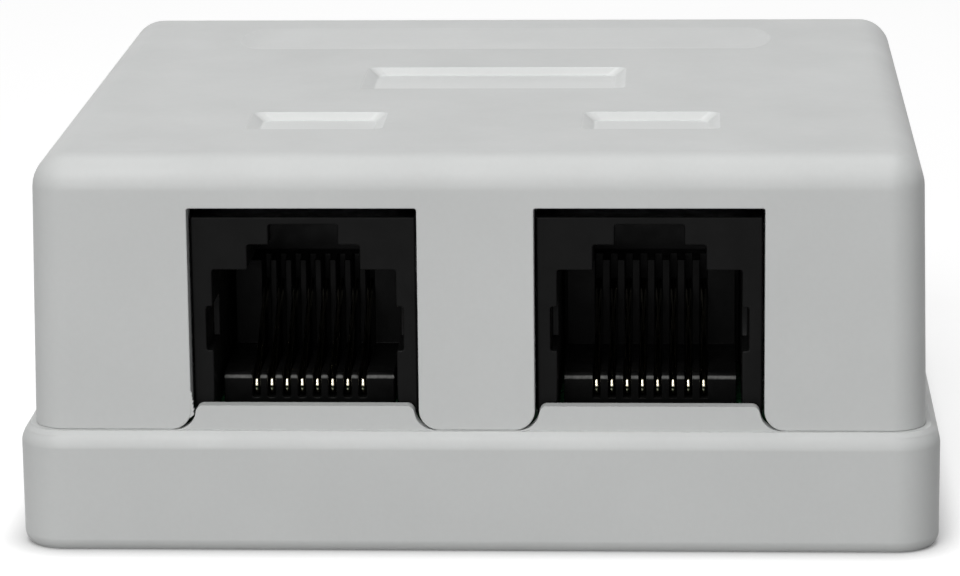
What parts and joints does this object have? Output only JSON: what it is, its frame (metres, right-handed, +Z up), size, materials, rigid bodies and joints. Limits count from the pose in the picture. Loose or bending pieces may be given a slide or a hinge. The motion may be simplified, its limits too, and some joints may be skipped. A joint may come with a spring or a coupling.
{
  "type": "surface mount jack box",
  "caption": "Low surface mount jack box: a tray base and lift-off cover around modular jacks, spring contacts and capped punch-down blocks.",
  "frame": {"origin": "centre of the base's underside, on the wall or desk face that it is fixed to", "axes": "+X to the right along the front, +Y to the rear (the ports face -Y), +Z up out of the cover"},
  "size_m": [0.061, 0.057, 0.0264],
  "materials": {
    "housing_plastic": "fine satin",
    "jack_plastic": "semi-gloss",
    "block_plastic": "semi-gloss",
    "cap_plastic": "semi-gloss",
    "board_laminate": "solder mask",
    "gold_wire": "polished plating",
    "tinned_blade": "bright tin",
    "plated_steel": "zinc plate"
  },
  "bodies": {
    "base": {"base": "housing_plastic", "board_screws": "plated_steel", "left_circuit_board": "board_laminate", "left_jack_housing": "jack_plastic", "left_contact_carrier": "jack_plastic", "left_contact_1": "gold_wire", "left_contact_2": "gold_wire", "left_contact_3": "gold_wire", "left_contact_4": "gold_wire", "left_contact_5": "gold_wire", "left_contact_6": "gold_wire", "left_contact_7": "gold_wire", "left_contact_8": "gold_wire", "left_inner_idc_block": "block_plastic", "left_inner_idc_contact_1": "tinned_blade", "left_inner_idc_contact_2": "tinned_blade", "left_inner_idc_contact_3": "tinned_blade", "left_inner_idc_contact_4": "tinned_blade", "left_outer_idc_block": "block_plastic", "left_outer_idc_contact_1": "tinned_blade", "left_outer_idc_contact_2": "tinned_blade", "left_outer_idc_contact_3": "tinned_blade", "left_outer_idc_contact_4": "tinned_blade", "right_circuit_board": "board_laminate", "right_jack_housing": "jack_plastic", "right_contact_carrier": "jack_plastic", "right_contact_1": "gold_wire", "right_contact_2": "gold_wire", "right_contact_3": "gold_wire", "right_contact_4": "gold_wire", "right_contact_5": "gold_wire", "right_contact_6": "gold_wire", "right_contact_7": "gold_wire", "right_contact_8": "gold_wire", "right_inner_idc_block": "block_plastic", "right_inner_idc_contact_1": "tinned_blade", "right_inner_idc_contact_2": "tinned_blade", "right_inner_idc_contact_3": "tinned_blade", "right_inner_idc_contact_4": "tinned_blade", "right_outer_idc_block": "block_plastic", "right_outer_idc_contact_1": "tinned_blade", "right_outer_idc_contact_2": "tinned_blade", "right_outer_idc_contact_3": "tinned_blade", "right_outer_idc_contact_4": "tinned_blade"},
    "cover": {"cover": "housing_plastic"},
    "left_inner_wire_cap": {"left_inner_wire_cap": "cap_plastic"},
    "left_outer_wire_cap": {"left_outer_wire_cap": "cap_plastic"},
    "right_inner_wire_cap": {"right_inner_wire_cap": "cap_plastic"},
    "right_outer_wire_cap": {"right_outer_wire_cap": "cap_plastic"}
  },
  "joints": [
    {"name": "cover_lift", "type": "slide", "parent": "base", "child": "cover", "axis": [0, 0, 1], "range_m": [0, 0.03]},
    {"name": "left_inner_cap_pull", "type": "slide", "parent": "base", "child": "left_inner_wire_cap", "axis": [0, 0, 1], "range_m": [0, 0.0045]},
    {"name": "left_outer_cap_pull", "type": "slide", "parent": "base", "child": "left_outer_wire_cap", "axis": [0, 0, 1], "range_m": [0, 0.0045]},
    {"name": "right_inner_cap_pull", "type": "slide", "parent": "base", "child": "right_inner_wire_cap", "axis": [0, 0, 1], "range_m": [0, 0.0045]},
    {"name": "right_outer_cap_pull", "type": "slide", "parent": "base", "child": "right_outer_wire_cap", "axis": [0, 0, 1], "range_m": [0, 0.0045]}
  ]
}
